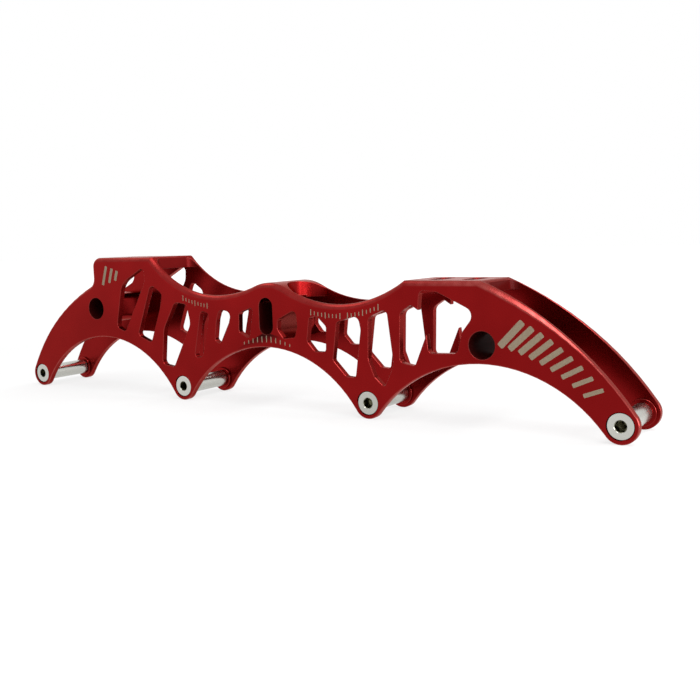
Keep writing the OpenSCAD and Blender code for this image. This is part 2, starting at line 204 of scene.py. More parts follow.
class NodeTree:
    """A shader node tree with short calls to add and join its nodes."""

    def __init__(self, tree: bpy.types.NodeTree) -> None:
        """Takes hold of a tree.

        Args:
            tree: The tree to add to.
        """
        self.tree = tree

    def find(self, kind: str) -> Node:
        """Finds the first node of a type."""
        return next(node for node in self.tree.nodes if node.type == kind)

    def add(self, kind: str, **values: object) -> Node:
        """Adds a node.

        Args:
            kind: The node's type without its ShaderNode prefix.
            values: Settings by name, or input sockets by name with spaces as underscores.

        Returns:
            The new node.
        """
        node = self.tree.nodes.new(f"ShaderNode{kind}")
        for name, value in values.items():
            if hasattr(node, name):
                setattr(node, name, value)
            else:
                self.feed(node, name.replace("_", " "), value)
        return node

    def feed(self, node: Node, name: str | int, value: object) -> None:
        """Sets an input of a node, or joins a socket to it.

        Args:
            node: The node.
            name: The input's name or place.
            value: A number, a colour, a vector or another node's output.
        """
        if isinstance(value, Socket):
            self.tree.links.new(value, node.inputs[name])
        else:
            node.inputs[name].default_value = value

    def feed_all(self, node: Node, values: dict[str, object]) -> None:
        """Sets or joins several inputs of a node, by their names."""
        for name, value in values.items():
            self.feed(node, name, value)

    def read(self, attribute: str) -> Socket:
        """Reads an attribute of the piece that the material is on."""
        return self.add("Attribute", attribute_name=attribute).outputs["Fac"]

    def math(self, operation: str, *values: object) -> Socket:
        """Adds a Math node.

        Args:
            operation: What it does.
            values: Its inputs, numbers or sockets.

        Returns:
            The node's output.
        """
        node = self.add("Math", operation=operation)
        for place, value in enumerate(values):
            self.feed(node, place, value)
        return node.outputs[0]

    def noise(self, vector: Socket, scale: object, detail: float) -> Socket:
        """Adds a noise texture and gives its value, which is about 0.5 on average."""
        return self.add("TexNoise", Vector=vector, Scale=scale, Detail=detail).outputs[0]

    def span(self, value: Socket, low: float, high: float,
             to_low: float, to_high: float) -> Socket:
        """Maps a value from one range to another, held to its ends.

        Args:
            value: The value.
            low: Start of its range.
            high: End of its range.
            to_low: What the start becomes.
            to_high: What the end becomes.

        Returns:
            The mapped value.
        """
        node = self.add("MapRange")
        for place, part in enumerate((value, low, high, to_low, to_high)):
            self.feed(node, place, part)
        return node.outputs[0]

    def blend(self, share: object, first: object, second: object) -> Socket:
        """Mixes two colours.

        Args:
            share: How much of the second colour shows.
            first: The first colour.
            second: The second colour.

        Returns:
            The mixed colour.
        """
        node = self.add("Mix", data_type="RGBA")
        colours = [socket for socket in node.inputs if socket.type == "RGBA"]
        self.feed(node, 0, share)
        for socket, value in zip(colours, (first, second)):
            if isinstance(value, Socket):
                self.tree.links.new(value, socket)
            else:
                socket.default_value = value
        return next(socket for socket in node.outputs if socket.type == "RGBA")


class Effect(Enum):
    """The surface effects that the finishes are made of."""

    GRAIN = "satin_grain"
    SCRATCH = "fine_scratches"
    WEAR = "edge_wear"
    TURNING = "turned_rings"


@dataclass
class EffectShop:
    """Makes each surface effect once, as a shader node group."""

    grain_detail: float = 2.0
    cloud_ratio: float = 70.0
    cloud_detail: float = 3.0
    scratch_runs: tuple[tuple[float, tuple[float, float, float]], ...] = (
        (0.35, (60.0, 60.0, 2400.0)), (-0.8, (90.0, 90.0, 2000.0)))
    scratch_detail: float = 1.0
    scratch_range: Pair = (0.70, 0.76)
    patch_scale: float = 260.0
    patch_detail: float = 4.0
    patch_range: Pair = (0.35, 0.65)
    patch_least: float = 0.5
    ring_height: float = 0.5
    ring_rough_scale: float = 1500.0
    ring_rough_detail: float = 1.0
    made: dict[Effect, bpy.types.NodeTree] = field(default_factory=dict)

    def get(self, effect: Effect) -> bpy.types.NodeTree:
        """Gives an effect's node group.

        Args:
            effect: The effect.

        Returns:
            Its node group.
        """
        if effect not in self.made:
            maker = {
                Effect.GRAIN: self.grain,
                Effect.SCRATCH: self.scratch,
                Effect.WEAR: self.wear,
                Effect.TURNING: self.turning,
            }[effect]
            self.made[effect] = maker(effect.value)
        return self.made[effect]

    @staticmethod
    def open_group(name: str, inputs: Sequence[tuple[str, str]],
                   outputs: Sequence[str]) -> tuple[NodeTree, Node, Node]:
        """Starts a node group.

        Args:
            name: The group's name.
            inputs: Name and socket type of each input.
            outputs: Name of each output, all of them values.

        Returns:
            The tree, its input node and its output node.
        """
        group = bpy.data.node_groups.new(name, "ShaderNodeTree")
        for label, kind in inputs:
            group.interface.new_socket(label, in_out="INPUT", socket_type=f"NodeSocket{kind}")
        for label in outputs:
            group.interface.new_socket(label, in_out="OUTPUT", socket_type="NodeSocketFloat")
        tree = NodeTree(group)
        return tree, group.nodes.new("NodeGroupInput"), group.nodes.new("NodeGroupOutput")

    def grain(self, name: str) -> bpy.types.NodeTree:
        """Makes fine blasted grain and a broad, faint clouding.

        Args:
            name: The group's name.

        Returns:
            The group.
        """
        tree, given, out = self.open_group(
            name, [("Vector", "Vector"), ("Scale", "Float")], ["Grain", "Cloud"])
        place, scale = given.outputs["Vector"], given.outputs["Scale"]
        tree.feed(out, "Grain", tree.noise(place, scale, self.grain_detail))
        broad = tree.noise(place, tree.math("DIVIDE", scale, self.cloud_ratio), self.cloud_detail)
        tree.feed(out, "Cloud", tree.span(broad, *NOISE_RANGE, 0.0, 1.0))
        return tree.tree

    def scratch(self, name: str) -> bpy.types.NodeTree:
        """Makes sparse hairline scratches from handling, in two directions.

        Args:
            name: The group's name.

        Returns:
            The group.
        """
        tree, given, out = self.open_group(name, [("Vector", "Vector"), ("Amount", "Float")], ["Mask"])
        lines = []
        for turn, stretch in self.scratch_runs:
            turned = tree.add("Mapping", Vector=given.outputs["Vector"],
                              Rotation=(0.0, turn, 0.0), Scale=stretch)
            line = tree.noise(turned.outputs[0], 1.0, self.scratch_detail)
            lines.append(tree.span(line, *self.scratch_range, 0.0, 1.0))
        both = tree.math("MAXIMUM", *lines)
        tree.feed(out, "Mask", tree.math("MULTIPLY", both, given.outputs["Amount"]))
        return tree.tree

    def wear(self, name: str) -> bpy.types.NodeTree:
        """Makes broken edges whose colour has thinned in places.

        Args:
            name: The group's name.

        Returns:
            The group.
        """
        tree, given, out = self.open_group(
            name, [("Vector", "Vector"), ("Edge", "Float"), ("Amount", "Float")], ["Mask"])
        patch = tree.noise(given.outputs["Vector"], self.patch_scale, self.patch_detail)
        patch = tree.span(patch, *self.patch_range, self.patch_least, 1.0)
        edge = tree.math("MULTIPLY", given.outputs["Edge"], patch)
        tree.feed(out, "Mask", tree.math("MULTIPLY", edge, given.outputs["Amount"]))
        return tree.tree

    def turning(self, name: str) -> bpy.types.NodeTree:
        """Makes the rings that a lathe tool leaves round the Y axis of the given vector.

        Args:
            name: The group's name.

        Returns:
            The group.
        """
        tree, given, out = self.open_group(name, [("Vector", "Vector"), ("Rings", "Float")], ["Height"])
        flat = tree.add("VectorMath", operation="MULTIPLY")
        tree.feed(flat, 0, given.outputs["Vector"])
        tree.feed(flat, 1, (1.0, 0.0, 1.0))
        reach = tree.add("VectorMath", operation="LENGTH")
        tree.feed(reach, 0, flat.outputs[0])
        turn = tree.math("MULTIPLY", reach.outputs["Value"], given.outputs["Rings"])
        wave = tree.math("SINE", turn)
        rough = tree.noise(given.outputs["Vector"], self.ring_rough_scale, self.ring_rough_detail)
        tree.feed(out, "Height", tree.math("MULTIPLY_ADD", wave, self.ring_height, rough))
        return tree.tree


EFFECTS = EffectShop()


class Finish:
    """What every finish shares: one material with a Principled shader."""

    @staticmethod
    def start(name: str) -> tuple[Material, NodeTree, Node, Socket]:
        """Starts a material.

        Args:
            name: The material's name.

        Returns:
            The material, its tree, its Principled shader and the Object coordinates.
        """
        material = bpy.data.materials.new(name)
        material.use_nodes = True
        tree = NodeTree(material.node_tree)
        return material, tree, tree.find("BSDF_PRINCIPLED"), tree.add("TexCoord").outputs["Object"]

    @staticmethod
    def effect(tree: NodeTree, effect: Effect, **values: object) -> Node:
        """Places a surface effect in a material.

        Args:
            tree: The material's tree.
            effect: The effect.
            values: The group's inputs by name.

        Returns:
            The group node.
        """
        node = tree.add("Group")
        node.node_tree = EFFECTS.get(effect)
        tree.feed_all(node, values)
        return node

    @staticmethod
    def bump(tree: NodeTree, shader: Node, height: Socket, strength: float) -> None:
        """Gives a shader a bumped normal.

        Args:
            tree: The material's tree.
            shader: The shader.
            height: The height.
            strength: How strong the bump is.
        """
        bump = tree.add("Bump", Strength=strength, Distance=BUMP_DEPTH, Height=height)
        tree.feed(shader, "Normal", bump.outputs[0])


@dataclass(frozen=True)
class AnodisedFinish(Finish):
    """Red anodised aluminium with a satin skin, thinner and paler along its edges, with painted shade in its
    bores and the corners ahead of the decks and a painted pink highlight tint on the front arm's edges.
    """

    name: str = "red_anodised_satin"
    deep: Colour = (0.180, 0.0032, 0.0036, 1.0)
    light: Colour = (0.225, 0.0048, 0.0052, 1.0)
    worn_and_sheen: Colour = (0.40, 0.085, 0.075, 1.0)
    # Painted shade colour, for the bores and the corners ahead of the decks.
    shaded: Colour = (0.050, 0.0035, 0.0032, 1.0)
    tint: Colour = (1.0, 0.62, 0.58, 1.0)
    grain_scale: float = 2600.0
    grain_bump: float = 0.05
    scratches: float = 0.35
    wear: float = 0.7
    roughness: Pair = (0.24, 0.31)
    dull_roughness: float = 0.6
    scratch_roughness: float = 0.12
    coat: float = 0.06
    coat_roughness: float = 0.22

    def make(self) -> Material:
        """Makes the material.

        Returns:
            The material, which reads the broken_edge and dull attributes of the piece it is on. The dull
            attribute paints shade into the colour and raises the roughness; broken_edge brings the pale edge
            colour, which is partly a painted highlight tint.
        """
        material, tree, shader, place = self.start(self.name)
        grain = self.effect(tree, Effect.GRAIN, Vector=place, Scale=self.grain_scale)
        scratch = self.effect(tree, Effect.SCRATCH, Vector=place, Amount=self.scratches)
        edge = tree.read("broken_edge")
        wear = self.effect(tree, Effect.WEAR, Vector=place, Edge=edge, Amount=self.wear)
        # The dull attribute paints shade into the bores and the corners ahead of the decks, and makes them
        # rougher.
        dull = tree.read("dull")
        skin = tree.blend(grain.outputs["Cloud"], self.deep, self.light)
        skin = tree.blend(dull, skin, self.shaded)
        satin = tree.span(grain.outputs["Grain"], *NOISE_RANGE, *self.roughness)
        satin = tree.math("MULTIPLY_ADD", dull, self.dull_roughness, satin)
        tree.feed_all(shader, {
            # Partly real edge wear, partly painted highlight: the pale edge colour tints the lit top band of
            # the front arm pink.
            "Base Color": tree.blend(wear.outputs["Mask"], skin, self.worn_and_sheen),
            "Roughness": tree.math("MULTIPLY_ADD", scratch.outputs["Mask"], self.scratch_roughness, satin),
            "Metallic": 1.0,
            "Specular Tint": self.tint,
            "Coat Weight": self.coat,
            "Coat Roughness": self.coat_roughness,
        })
        height = tree.math("MULTIPLY_ADD", scratch.outputs["Mask"], -1.0, grain.outputs["Grain"])
        self.bump(tree, shader, height, self.grain_bump)
        return material


@dataclass(frozen=True)
class SteelFinish(Finish):
    """Bright turned steel, with lathe rings round the axle's own axis."""

    name: str
    centre: tuple[float, float, float]
    bright: Colour = (0.56, 0.56, 0.52, 1.0)
    dull: Colour = (0.46, 0.46, 0.42, 1.0)
    socket_darkened: Colour = (0.12, 0.115, 0.07, 1.0)
    grain_scale: float = 1800.0
    scratches: float = 0.5
    scratch_shade: float = 0.4
    ring_pitch: float = 0.16 * MM
    ring_bump: float = 0.10
    roughness: Pair = (0.16, 0.30)

    def make(self) -> Material:
        """Makes the material.

        Returns:
            The material, for an axle whose axis passes through the centre.
            It reads the socket attribute of the piece it is on.
        """
        material, tree, shader, place = self.start(self.name)
        moved = tree.add("Mapping", Vector=place, Location=[-part for part in self.centre]).outputs[0]
        rings = self.effect(tree, Effect.TURNING, Vector=moved, Rings=2.0 * math.pi / self.ring_pitch)
        grain = self.effect(tree, Effect.GRAIN, Vector=place, Scale=self.grain_scale)
        scratch = self.effect(tree, Effect.SCRATCH, Vector=place, Amount=self.scratches)
        shade = tree.math("MULTIPLY_ADD", scratch.outputs["Mask"], self.scratch_shade,
                          grain.outputs["Cloud"])
        steel = tree.blend(shade, self.bright, self.dull)
        tree.feed_all(shader, {
            # Inside the socket the steel colour is blended to a darker olive.
            "Base Color": tree.blend(tree.read("socket"), steel, self.socket_darkened),
            "Roughness": tree.span(grain.outputs["Grain"], *NOISE_RANGE, *self.roughness),
            "Metallic": 1.0,
        })
        self.bump(tree, shader, rings.outputs["Height"], self.ring_bump)
        return material


@dataclass(frozen=True)
class EtchFinish(Finish):
    """Pale cream etching: the red skin burnt away in fine hatched lines."""

    name: str = "cream_etch"
    pale: Colour = (0.37, 0.305, 0.21, 1.0)
    burnt: Colour = (0.24, 0.15, 0.095, 1.0)
    grain_scale: float = 3200.0
    burnt_range: Pair = (0.35, 0.75)
    burnt_most: float = 0.7
    hatch_pitch: float = 0.12 * MM
    hatch_share: float = 0.12
    hatch_bump: float = 0.15
    roughness: Pair = (0.5, 0.66)
    metallic: float = 0.35

    def make(self) -> Material:
        """Makes the material.

        Returns:
            The material.
        """
        material, tree, shader, place = self.start(self.name)
        grain = self.effect(tree, Effect.GRAIN, Vector=place, Scale=self.grain_scale)
        parts = tree.add("SeparateXYZ", Vector=place)
        slant = tree.math("ADD", parts.outputs["X"], parts.outputs["Z"])
        hatch = tree.math("SINE", tree.math("MULTIPLY", slant, 2.0 * math.pi / self.hatch_pitch))
        burning = tree.span(grain.outputs["Grain"], *self.burnt_range, 0.0, self.burnt_most)
        share = tree.math("MULTIPLY_ADD", hatch, self.hatch_share, burning)
        tree.feed_all(shader, {
            "Base Color": tree.blend(share, self.pale, self.burnt),
            "Roughness": tree.span(grain.outputs["Cloud"], 0.0, 1.0, *self.roughness),
            "Metallic": self.metallic,
        })
        self.bump(tree, shader, hatch, self.hatch_bump)
        return material


@dataclass(frozen=True)
class Bore:
    """A bore across the frame: its place, the heights of its two end centres and its radius."""

    x: float
    low: float
    high: float
    radius: float

    def holds(self, point: Vector) -> bool:
        """Says whether a point lies in the bore or on its wall."""
        return math.hypot(point.x - self.x, point.z - min(max(point.z, self.low), self.high)) < self.radius


@dataclass(frozen=True)
class WebCorner:
    """A corner ahead of a deck that is painted darker as shade and made rougher: its place, how strongly and
    how far that reaches.
    """

    x: float
    z: float
    shade_and_dullness: float
    reach: float = 5.5 * MM

    def shade_and_dullness_at(self, point: Vector) -> float:
        """Gives the painted shade and dullness at a point, 0 beyond the corner's reach."""
        return self.shade_and_dullness if math.hypot(point.x - self.x, point.z - self.z) < self.reach else 0.0


@dataclass
class FrameShell:
    """The milled frame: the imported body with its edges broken, as milling and tumbling leave them."""

    node: str = "frame_body"
    merge: float = 0.004 * MM
    flat_angle: float = math.radians(0.6)
    sharp_angle: float = math.radians(24.0)
    smooth_angle: float = math.radians(40.0)
    plane_slack: float = 0.01 * MM
    wall: float = 3.0 * MM
    bore_reach: float = 5.35 * MM
    segments: int = 5
    profile: float = 0.42
    top_round: float = 2.3 * MM
    low_break: float = 0.45 * MM
    window_break: float = 0.3 * MM
    inner_break: float = 0.2 * MM
    fade: Pair = (112.0 * MM, 154.0 * MM)
    cut_past: float = 4.0 * MM
    cut_lengths: Pair = (1.0 * MM, 20.0 * MM)
    top_normal: float = 0.1
    under_normal: float = -0.05
    # Partly painted highlight: ahead of this place the edges take the full pale colour, which tints the
    # front arm's lit band pink; the wide roundings behind it are spared most of it.
    pale_sheen_from: float = 103.0 * MM
    rim_wear: float = 0.4
    round_spared: float = 0.75
    # Painted shade: these bores and corners are darkened through the dull attribute, and made rougher.
    bores: tuple[Bore, ...] = (Bore(-111.83 * MM, 43.25 * MM, 43.25 * MM, 5.6 * MM),
                               Bore(105.33 * MM, 33.45 * MM, 33.45 * MM, 5.6 * MM),
                               Bore(0.0, 37.3 * MM, 46.3 * MM, 3.85 * MM))
    web_corners: tuple[WebCorner, ...] = (WebCorner(-71.0 * MM, 64.0 * MM, 0.45),
                                          WebCorner(107.8 * MM, 54.0 * MM, 0.75))
    web_depth: Pair = (0.02 * MM, 5.0 * MM)
    tight_x: Pair = (96.0 * MM, 114.5 * MM)
    tight_z: Pair = (24.5 * MM, 26.9 * MM)
    axles: list[Vector] = field(init=False)

    def __post_init__(self) -> None:
        """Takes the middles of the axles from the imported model."""
        self.axles = [sum(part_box(node), Vector()) / 2 for node in AXLE_NODES]

    def build(self) -> Object:
        """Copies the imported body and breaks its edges.

        Returns:
            The finished piece, riding on the frame.
        """
        piece = Bench.copy_of_node(self.node, "frame_shell", self.merge)
        bpy.ops.mesh.dissolve_limited(angle_limit=self.flat_angle)
        cuts = self.cut_arms(piece)
        breaks = self.edge_breaks(piece.data, cuts)
        widest = max(breaks)
        self.mark_narrow(piece.data, breaks)
        weights = piece.data.attributes.new("bevel_weight_edge", "FLOAT", "EDGE")
        weights.data.foreach_set("value", [width / widest for width in breaks])
        piece.data.materials.clear()
        piece.data.materials.append(AnodisedFinish().make())
        piece.data.polygons.foreach_set("material_index", [0] * len(piece.data.polygons))
        piece.data.materials.append(None)
        Bench.modify(piece, "BEVEL", limit_method="WEIGHT", width=widest, segments=self.segments,
                     profile=self.profile, use_clamp_overlap=False, loop_slide=False, material=1)
        Bench.weld(piece)
        self.mark_broken(piece.data)
        self.mark_dull_and_painted_shade(piece.data)
        Bench.smooth(piece, self.smooth_angle)
        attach(piece, "frame")
        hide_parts(self.node)
        return piece

    def is_outer(self, point: Vector) -> bool:
        """Says whether a point lies on the outer face of a wall."""
        return abs(abs(point.y) - CAD_BOX[1].y) < self.plane_slack

    def is_arm_top(self, vertex: bpy.types.MeshVertex) -> bool:
        """Says whether a vertex lies on the upper outer edge of an arm."""
        along = self.fade[0] < abs(vertex.co.x) < self.fade[1] + self.cut_past
        return along and self.is_outer(vertex.co) and vertex.normal.z > self.top_normal

    def is_tight(self, point: Vector) -> bool:
        """Says whether a point lies under the front bar, which leaves no room for a break beside it."""
        return self.tight_x[0] < point.x < self.tight_x[1] and self.tight_z[0] < point.z < self.tight_z[1]

    def is_clear(self, point: Vector) -> bool:
        """Says whether a point lies clear of the axles' bores."""
        return all(math.hypot(point.x - axle.x, point.z - axle.z) >= self.bore_reach for axle in self.axles)

    def cut_arms(self, piece: Object) -> list[float]:
        """Cuts the arms across, halfway along each straight piece of their long edges.

        Args:
            piece: The frame, in edit mode.

        Returns:
            The places of the cuts along the frame.
        """
        bpy.ops.object.mode_set(mode="OBJECT")
        places = sorted({round(vertex.co.x, 5) for vertex in piece.data.vertices if self.is_arm_top(vertex)})
        least, most = self.cut_lengths
        cuts = [(first + second) / 2 for first, second in zip(places, places[1:])
                if least < second - first < most]
        bpy.ops.object.mode_set(mode="EDIT")
        for cut in cuts:
            bpy.ops.mesh.select_all(action="SELECT")
            bpy.ops.mesh.bisect(plane_co=(cut, 0.0, 0.0), plane_no=(1.0, 0.0, 0.0))
        Bench.clear()
        return cuts

    @staticmethod
    def faces_beside(mesh: Mesh) -> dict[tuple[int, int], list[tuple[Vector, Vector]]]:
        """Finds the faces beside each edge.

        Args:
            mesh: The frame's mesh.

        Returns:
            By each edge's key, the normal of each face and the way from the edge into that face.
        """
        beside: dict[tuple[int, int], list[tuple[Vector, Vector]]] = defaultdict(list)
        for polygon in mesh.polygons:
            corners = list(polygon.vertices)
            for first, second in zip(corners, corners[1:] + corners[:1]):
                along = mesh.vertices[second].co - mesh.vertices[first].co
                key = (min(first, second), max(first, second))
                beside[key].append((polygon.normal, polygon.normal.cross(along)))
        return beside

    def is_sharp(self, ends: Sequence[Vector], faces: Sequence[tuple[Vector, Vector]]) -> bool:
        """Says whether an edge is sharp, and isn't a hollow corner within a wall.

        Args:
            ends: The two ends of the edge.
            faces: The normal of each face beside it and the way into that face.

        Returns:
            True for such an edge.
        """
        if len(faces) != 2:
            return False
        (normal, _), (other, inward) = faces
        in_wall = min(abs(end.y) for end in ends) > CAD_BOX[1].y - self.wall - self.plane_slack
        hollow = in_wall and inward.dot(normal) > 0.0
        return not hollow and normal.angle(other, 0.0) >= self.sharp_angle

    def edge_breaks(self, mesh: Mesh, cuts: Sequence[float]) -> list[float]:
        """Says how far each edge is broken.

        Args:
            mesh: The frame's mesh.
            cuts: The places where the arms are cut across.

        Returns:
            One width for each edge, in order, and 0 for an edge that stays as it is.
        """
        beside = self.faces_beside(mesh)
        breaks = [0.0] * len(mesh.edges)
        rims = []
        for edge in mesh.edges:
            ends = [mesh.vertices[index].co for index in edge.vertices]
            if not self.is_sharp(ends, beside[edge.key]) or not all(self.is_clear(end) for end in ends):
                continue
            across = ends[0].y * ends[1].y < 0.0
            if not across and all(self.is_outer(end) for end in ends):
                rims.append(edge)
            elif not any(self.is_tight(end) for end in ends):
                breaks[edge.index] = self.inner_break
        for loop in self.loops(rims):
            span = [mesh.vertices[index].co.x for edge in loop for index in edge.vertices]
            whole = max(span) - min(span) > (CAD_BOX[1].x - CAD_BOX[0].x) / 2
            for edge in loop:
                upward = min((normal for normal, _ in beside[edge.key]), key=lambda normal: abs(normal.y)).z
                ends = [mesh.vertices[index].co.x for index in edge.vertices]
                own = [x for x in ends if all(abs(x - cut) > self.plane_slack for cut in cuts)]
                width = self.rim_break(sum(own) / len(own), upward) if whole else self.window_break
                breaks[edge.index] = width
        return breaks

    def rim_break(self, x: float, upward: float) -> float:
        """Says how far the outline is broken at one place.

        Args:
            x: The place along the frame.
            upward: The upward share of the edge face's normal.

        Returns:
            The width of the break.
        """
        if upward < self.under_normal:
            return self.low_break
        near, far = self.fade
        share = min(1.0, max(0.0, (far - abs(x)) / (far - near)))
        return self.low_break + (self.top_round - self.low_break) * share * share * (3.0 - 2.0 * share)

    def mark_narrow(self, mesh: Mesh, breaks: Sequence[float]) -> None:
        """Writes how much edge wear each corner gets: fully along the outline, less at windows and wide
        roundings. The full share on the front arm is partly a painted highlight that tints its lit top band
        pink.

        Args:
            mesh: The frame's mesh, before its edges are broken.
            breaks: The width of each edge's break.
        """
        widths = [0.0] * len(mesh.vertices)
        for edge in mesh.edges:
            for index in edge.vertices:
                widths[index] = max(widths[index], breaks[edge.index])
        span = self.top_round - self.low_break
        shares = []
        for vertex, width in zip(mesh.vertices, widths):
            if width < self.low_break:
                shares.append(self.rim_wear)
            elif vertex.co.x > self.pale_sheen_from:
                shares.append(1.0)
            else:
                shares.append(1.0 - self.round_spared * (width - self.low_break) / span)
        Bench.write(mesh, "wear_and_sheen_share", shares)

    @staticmethod
    def loops(edges: Iterable[bpy.types.MeshEdge]) -> list[list[bpy.types.MeshEdge]]:
        """Parts edges into the loops that they form.

        Args:
            edges: The edges.

        Returns:
            The edges of each loop.
        """
        at_vertex: dict[int, list[bpy.types.MeshEdge]] = defaultdict(list)
        for edge in edges:
            for index in edge.vertices:
                at_vertex[index].append(edge)
        found, seen = [], set()
        for start in list(at_vertex):
            loop, queue = {}, [start]
            while queue:
                index = queue.pop()
                if index in seen:
                    continue
                seen.add(index)
                for edge in at_vertex[index]:
                    loop[edge.index] = edge
                    queue.extend(edge.vertices)
            if loop:
                found.append(list(loop.values()))
        return found

    @staticmethod
    def mark_broken(mesh: Mesh) -> None:
        """Writes how far each corner lies in a broken edge, and leaves one material.

        Args:
            mesh: The frame's mesh, whose broken edges have the second material.
        """
        flats = [polygon for polygon in mesh.polygons if polygon.material_index == 0]
        flat = {index for polygon in flats for index in polygon.vertices}
        shares = [0.0] * len(mesh.vertices)
        mesh.attributes["wear_and_sheen_share"].data.foreach_get("value", shares)
        broken = [0.0 if index in flat else share for index, share in enumerate(shares)]
        Bench.write(mesh, "broken_edge", broken)
        mesh.polygons.foreach_set("material_index", [0] * len(mesh.polygons))
        mesh.materials.pop(index=1)

    def mark_dull_and_painted_shade(self, mesh: Mesh) -> None:
        """Writes the places that get painted shade and more roughness: the cross bores and the corners ahead
        of the decks.

        Args:
            mesh: The frame's mesh.
        """
        near, far = self.web_depth
        inner = CAD_BOX[1].y - self.wall
        marks = []
        for vertex in mesh.vertices:
            bored = any(bore.holds(vertex.co) for bore in self.bores)
            beside = inner - far < abs(vertex.co.y) < inner - near
            web = max(corner.shade_and_dullness_at(vertex.co) for corner in self.web_corners)
            marks.append(1.0 if bored else web * beside)
        Bench.write(mesh, "dull", marks)


@dataclass
class WheelAxle:
    """A one-piece axle: a head with a hex socket, a polished shank and a threaded end."""

    head_radius: float = 5.0 * MM
    head_length: float = 2.2 * MM
    head_round: float = 0.5 * MM
    round_middle: Pair = (0.12 * MM, 0.16 * MM)
    shank_radius: float = 4.0 * MM
    shank_end: float = 27.8 * MM
    chamfer: float = 0.5 * MM
    thread_radius: float = 3.5 * MM
    thread_depth: float = 0.45 * MM
    thread_pitch: float = 1.0 * MM
    thread_slack: float = 0.01 * MM
    thread_run_outs: Pair = (0.4 * MM, 0.7 * MM)
    thread_crest: float = 1.25
    rings_per_turn: int = 8
    hex_sides: int = 6
    hex_across: float = 4.0 * MM
    hex_depth: float = 4.0 * MM
    socket_mouth: float = 2.42 * MM
    socket_lip: float = 0.03 * MM
    mouth_depth: float = 0.2 * MM
    drill_share: float = 0.96
    drill_tip: float = 0.05 * MM
    drill_reach: Pair = (-0.05 * MM, 1.15 * MM)
    cut_past: float = 0.5 * MM
    cone_sides: int = 48
    darkened_past: float = 2.0 * MM
    sides: int = 72
    smooth_angle: float = math.radians(32.0)
    turns: dict[str, float] = field(default_factory=lambda: {
        "rear_axle": 0.0,
        "second_axle": math.radians(17.0),
        "third_axle": math.radians(-11.0),
        "front_axle": math.radians(24.0),
    })
    head: Vector = field(init=False)
    length: float = field(init=False)

    def __post_init__(self) -> None:
        """Takes the model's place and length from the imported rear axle."""
        low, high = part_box(AXLE_NODES[0])
        self.head = self.seat(AXLE_NODES[0])
        self.length = high.y - low.y

    @staticmethod
    def seat(node: str) -> Vector:
        """Gives the middle of a packed axle's head face."""
        low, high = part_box(node)
        return Vector(((low.x + high.x) / 2, low.y, (low.z + high.z) / 2))

    def build(self) -> list[Object]:
        """Models one axle and copies it to the four places.

        Returns:
            The four finished axles, each riding on its own body.
        """
        model = self.turn_blank()
        self.cut_thread(model)
        self.cut_socket(model)
        Bench.weld(model)
        self.mark_socket(model.data)
        Bench.smooth(model, self.smooth_angle)
        axles = [self.place(model, node) for node in AXLE_NODES]
        bpy.data.objects.remove(model)
        return axles

    def profile(self) -> list[Pair]:
        """Gives the turned profile.

        Returns:
            Distance from the head's face and radius of each step, without the face itself.
        """
        root = self.thread_radius - self.thread_depth
        behind, short = self.round_middle
        steps = [
            (behind, self.head_radius - short),
            (self.head_round, self.head_radius),
            (self.head_length, self.head_radius),
            (self.head_length, self.shank_radius),
            (self.shank_end - self.chamfer, self.shank_radius),
            (self.shank_end, self.shank_radius - self.chamfer),
            (self.shank_end, root),
        ]
        rings = round((self.length - self.shank_end) / self.thread_pitch * self.rings_per_turn)
        step = (self.length - self.shank_end) / rings
        return steps + [(self.shank_end + step * ring, root) for ring in range(1, rings + 1)]

    def turn_blank(self) -> Object:
        """Turns the axle from a disc that is drawn out step by step.

        Returns:
            The turned axle, without thread or socket.
        """
        Bench.clear()
        radius = self.head_radius - self.head_round
        bpy.ops.mesh.primitive_circle_add(vertices=self.sides, radius=radius, fill_type="NGON",
                                          location=self.head, rotation=(math.pi / 2, 0.0, 0.0))
        model = bpy.context.object
        model.name = "axle_model"
        bpy.ops.object.transform_apply(location=True, rotation=True, scale=True)
        Bench.take(model, "EDIT")
        bpy.ops.mesh.select_all(action="SELECT")
        reach = 0.0
        for distance, new_radius in self.profile():
            centre = self.head + Vector((0.0, distance, 0.0))
            bpy.ops.mesh.extrude_region_move(
                TRANSFORM_OT_translate={"value": (0.0, distance - reach, 0.0)})
            share = new_radius / radius
            bpy.ops.transform.resize(value=(share, 1.0, share), center_override=centre)
            reach, radius = distance, new_radius
        bpy.ops.mesh.select_all(action="SELECT")
        bpy.ops.mesh.normals_make_consistent(inside=False)
        Bench.clear()
        return model

    def cut_thread(self, model: Object) -> None:
        """Raises a helical thread on the far end, running out at both ends.

        Args:
            model: The turned axle.
        """
        root = self.thread_radius - self.thread_depth
        start, end = self.shank_end, self.length
        run_in, run_out = self.thread_run_outs
        for vertex in model.data.vertices:
            place = vertex.co - self.head
            if place.y < start + self.thread_slack or place.y > end - self.thread_slack:
                continue
            angle = math.atan2(place.z, place.x)
            phase = (place.y / self.thread_pitch - angle / (2.0 * math.pi)) % 1.0
            ridge = 1.0 - abs(2.0 * phase - 1.0)
            fade = min(1.0, (place.y - start) / run_in, (end - place.y) / run_out)
            radius = root + self.thread_depth * min(1.0, self.thread_crest * ridge) * max(0.0, fade)
            share = radius / math.hypot(place.x, place.z)
            vertex.co = self.head + Vector((place.x * share, place.y, place.z * share))

